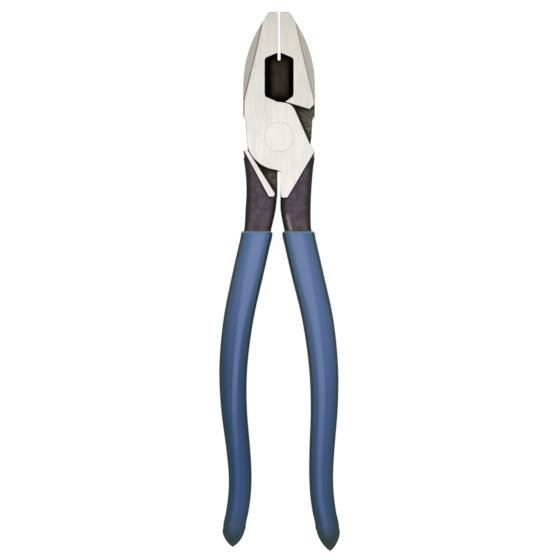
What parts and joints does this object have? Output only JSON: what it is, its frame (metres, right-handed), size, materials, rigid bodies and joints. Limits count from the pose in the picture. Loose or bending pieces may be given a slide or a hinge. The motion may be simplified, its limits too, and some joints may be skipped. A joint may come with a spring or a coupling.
{
  "type": "lineman pliers",
  "caption": "Side-cutting lineman pliers with ground steel jaws, a flush lap joint, a knife window and dipped blue grips.",
  "frame": {"origin": "where the pivot axis meets the flat back of the joint, which is the face the pliers rest on", "axes": "+Z along the pivot axis from the rest face to the front face, +Y from the pivot to the nose, +X to the side of the front lever's handle"},
  "size_m": [0.053, 0.237, 0.016],
  "materials": {
    "forged_steel": "ground bright on the head, dark heat-treated scale on the tangs",
    "rivet_steel": "ground flush",
    "grip_vinyl": "dipped satin vinyl"
  },
  "bodies": {
    "rear_half": {"rear_lever": "forged_steel", "pivot_rivet": "rivet_steel", "left_grip": "grip_vinyl"},
    "front_half": {"front_lever": "forged_steel", "right_grip": "grip_vinyl"}
  },
  "joints": [
    {"name": "jaw_pivot", "type": "hinge", "parent": "rear_half", "child": "front_half", "pos_m": [0, 0, 0.008], "axis": [0, 0, 1], "range_deg": [0, 34]}
  ]
}
